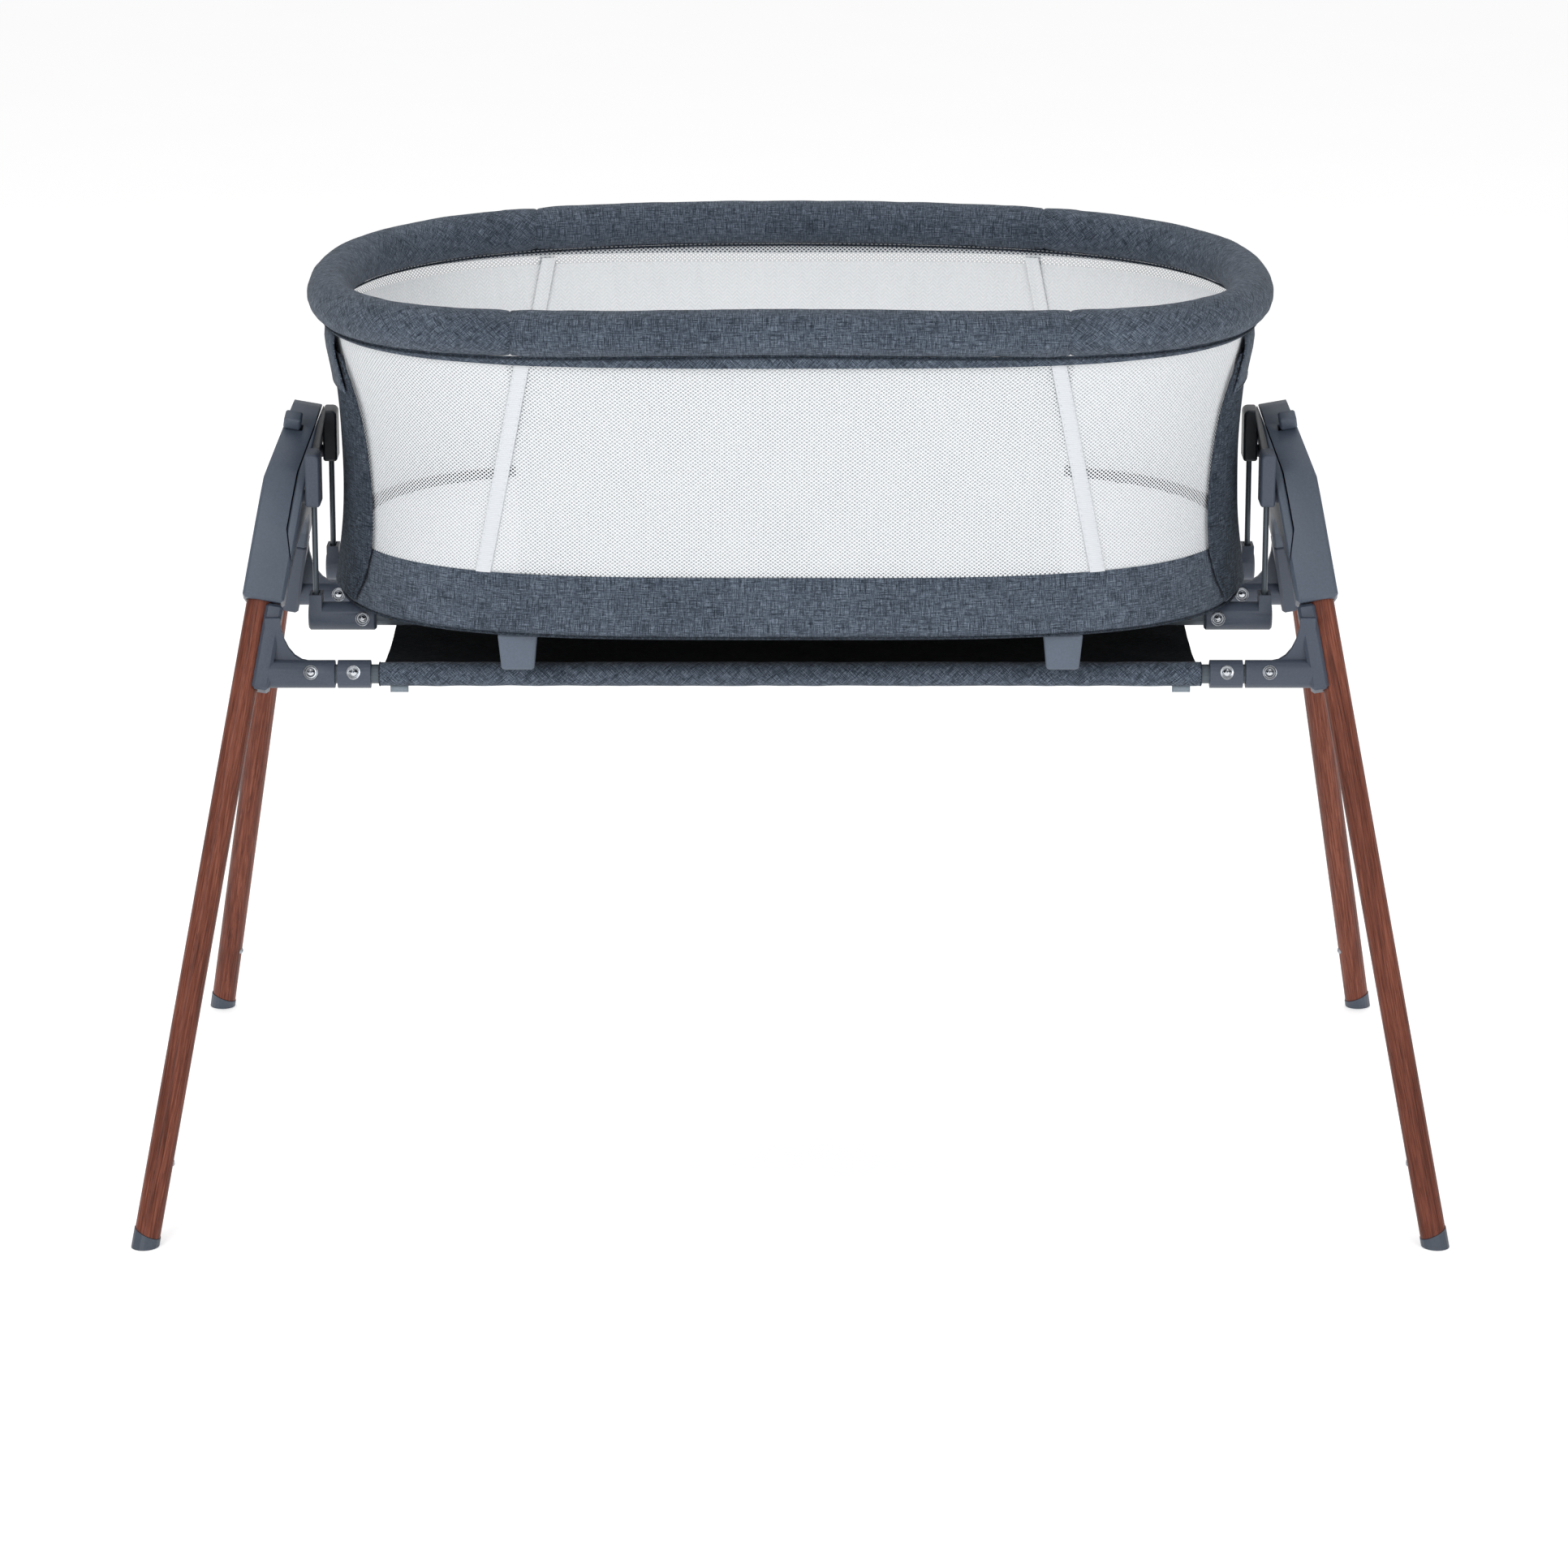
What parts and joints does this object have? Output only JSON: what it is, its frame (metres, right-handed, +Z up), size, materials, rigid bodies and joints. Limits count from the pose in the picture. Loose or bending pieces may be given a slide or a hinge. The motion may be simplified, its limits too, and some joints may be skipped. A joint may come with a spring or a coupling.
{
  "type": "gliding bassinet on stand",
  "caption": "Gliding bassinet with mesh walls, hung by steel rods from an A-frame stand with splayed wood-look legs and a storage sling.",
  "frame": {"origin": "on the floor at the middle of the stand", "axes": "+Z up, +X towards the right end, -Y towards the front; X is the long way"},
  "size_m": [1.0804, 0.6812, 0.7679],
  "materials": {
    "wood_tube": "steel tube under a satin reddish-brown wood-grain film",
    "slate_plastic": "fine moulded texture, slate blue-grey",
    "light_slate_plastic": "smooth moulded, light slate",
    "black_plastic": "smooth moulded, nearly black",
    "bright_steel": "polished dome",
    "dark_steel": "slate powder coat",
    "chambray": "two-tone grey-blue chambray weave",
    "white_mesh": "fine white knitted mesh",
    "fibre_board": "fibre board",
    "mattress_cover": "soft white quilted cover"
  },
  "bodies": {
    "stand": {"leg_front_left": "wood_tube", "foot_cap_front_left": "slate_plastic", "corner_bracket_front_left": "slate_plastic", "rail_collar_front_left": "slate_plastic", "pivot_cover_front_left": "black_plastic", "leg_front_right": "wood_tube", "foot_cap_front_right": "slate_plastic", "corner_bracket_front_right": "slate_plastic", "rail_collar_front_right": "slate_plastic", "pivot_cover_front_right": "black_plastic", "front_rail": "dark_steel", "leg_rear_left": "wood_tube", "foot_cap_rear_left": "slate_plastic", "corner_bracket_rear_left": "slate_plastic", "rail_collar_rear_left": "slate_plastic", "pivot_cover_rear_left": "black_plastic", "leg_rear_right": "wood_tube", "foot_cap_rear_right": "slate_plastic", "corner_bracket_rear_right": "slate_plastic", "rail_collar_rear_right": "slate_plastic", "pivot_cover_rear_right": "black_plastic", "rear_rail": "dark_steel", "arch_outer_cover_left": "slate_plastic", "arch_inner_cover_left": "slate_plastic", "arch_outer_cover_right": "slate_plastic", "arch_inner_cover_right": "slate_plastic", "storage_sling": "chambray"},
    "bassinet": {"rim_cover": "chambray", "rim_frame": "dark_steel", "mesh_wall": "white_mesh", "lower_band": "chambray", "end_panel_left": "chambray", "end_panel_right": "chambray", "base_board": "fibre_board", "mattress": "mattress_cover", "hanger_tube_front": "dark_steel", "hanger_bracket_front_left": "slate_plastic", "under_foot_front_left": "light_slate_plastic", "hanger_bracket_front_right": "slate_plastic", "under_foot_front_right": "light_slate_plastic", "hanger_tube_rear": "dark_steel", "hanger_bracket_rear_left": "slate_plastic", "under_foot_rear_left": "light_slate_plastic", "hanger_bracket_rear_right": "slate_plastic", "under_foot_rear_right": "light_slate_plastic"},
    "swing_rod_front_left": {"swing_rod_front_left": "dark_steel"},
    "swing_rod_front_right": {"swing_rod_front_right": "dark_steel"},
    "swing_rod_rear_left": {"swing_rod_rear_left": "dark_steel"},
    "swing_rod_rear_right": {"swing_rod_rear_right": "dark_steel"},
    "lock_slider_left": {"lock_slider_left": "slate_plastic"},
    "lock_slider_right": {"lock_slider_right": "slate_plastic"},
    "rail_button_front_left": {"rail_button_front_left": "bright_steel"},
    "hanger_button_front_left": {"hanger_button_front_left": "bright_steel"},
    "rail_button_front_right": {"rail_button_front_right": "bright_steel"},
    "hanger_button_front_right": {"hanger_button_front_right": "bright_steel"},
    "rail_button_rear_left": {"rail_button_rear_left": "bright_steel"},
    "hanger_button_rear_left": {"hanger_button_rear_left": "bright_steel"},
    "rail_button_rear_right": {"rail_button_rear_right": "bright_steel"},
    "hanger_button_rear_right": {"hanger_button_rear_right": "bright_steel"}
  },
  "joints": [
    {"name": "bassinet_level", "type": "hinge", "parent": "swing_rod_front_left", "child": "bassinet", "pos_m": [-0.3968, -0.0922, 0.4742], "axis": [1, 0, 0], "range_deg": [-12, 12]},
    {"name": "swing_front_left", "type": "hinge", "parent": "stand", "child": "swing_rod_front_left", "pos_m": [-0.3968, -0.0922, 0.6], "axis": [1, 0, 0], "range_deg": [-12, 12]},
    {"name": "swing_front_right", "type": "hinge", "parent": "stand", "child": "swing_rod_front_right", "pos_m": [0.3968, -0.0922, 0.6], "axis": [1, 0, 0], "range_deg": [-12, 12]},
    {"name": "swing_rear_left", "type": "hinge", "parent": "stand", "child": "swing_rod_rear_left", "pos_m": [-0.3968, 0.0922, 0.6], "axis": [1, 0, 0], "range_deg": [-12, 12]},
    {"name": "swing_rear_right", "type": "hinge", "parent": "stand", "child": "swing_rod_rear_right", "pos_m": [0.3968, 0.0922, 0.6], "axis": [1, 0, 0], "range_deg": [-12, 12]},
    {"name": "lock_slide_left", "type": "slide", "parent": "stand", "child": "lock_slider_left", "axis": [0.9847, 0, -0.1744], "range_m": [0, 0.006]},
    {"name": "lock_slide_right", "type": "slide", "parent": "stand", "child": "lock_slider_right", "axis": [-0.9847, 0, -0.1744], "range_m": [0, 0.006]},
    {"name": "rail_snap_front_left", "type": "slide", "parent": "stand", "child": "rail_button_front_left", "axis": [0, 0.9397, -0.342], "range_m": [0, 0.003], "stiffness_N_per_m": 400, "springref_m": -0.002},
    {"name": "hanger_snap_front_left", "type": "slide", "parent": "bassinet", "child": "hanger_button_front_left", "axis": [0, 1, 0], "range_m": [0, 0.003], "stiffness_N_per_m": 400, "springref_m": -0.002},
    {"name": "rail_snap_front_right", "type": "slide", "parent": "stand", "child": "rail_button_front_right", "axis": [0, 0.9397, -0.342], "range_m": [0, 0.003], "stiffness_N_per_m": 400, "springref_m": -0.002},
    {"name": "hanger_snap_front_right", "type": "slide", "parent": "bassinet", "child": "hanger_button_front_right", "axis": [0, 1, 0], "range_m": [0, 0.003], "stiffness_N_per_m": 400, "springref_m": -0.002},
    {"name": "rail_snap_rear_left", "type": "slide", "parent": "stand", "child": "rail_button_rear_left", "axis": [0, 1, 0], "range_m": [0, 0.003], "stiffness_N_per_m": 400, "springref_m": -0.002},
    {"name": "hanger_snap_rear_left", "type": "slide", "parent": "bassinet", "child": "hanger_button_rear_left", "axis": [0, 1, 0], "range_m": [0, 0.003], "stiffness_N_per_m": 400, "springref_m": -0.002},
    {"name": "rail_snap_rear_right", "type": "slide", "parent": "stand", "child": "rail_button_rear_right", "axis": [0, 1, 0], "range_m": [0, 0.003], "stiffness_N_per_m": 400, "springref_m": -0.002},
    {"name": "hanger_snap_rear_right", "type": "slide", "parent": "bassinet", "child": "hanger_button_rear_right", "axis": [0, 1, 0], "range_m": [0, 0.003], "stiffness_N_per_m": 400, "springref_m": -0.002}
  ],
  "couplings": [
    {"joint": "swing_front_left", "follows": "bassinet_level", "ratio": -1},
    {"joint": "swing_front_right", "follows": "bassinet_level", "ratio": -1},
    {"joint": "swing_rear_left", "follows": "bassinet_level", "ratio": -1},
    {"joint": "swing_rear_right", "follows": "bassinet_level", "ratio": -1}
  ]
}
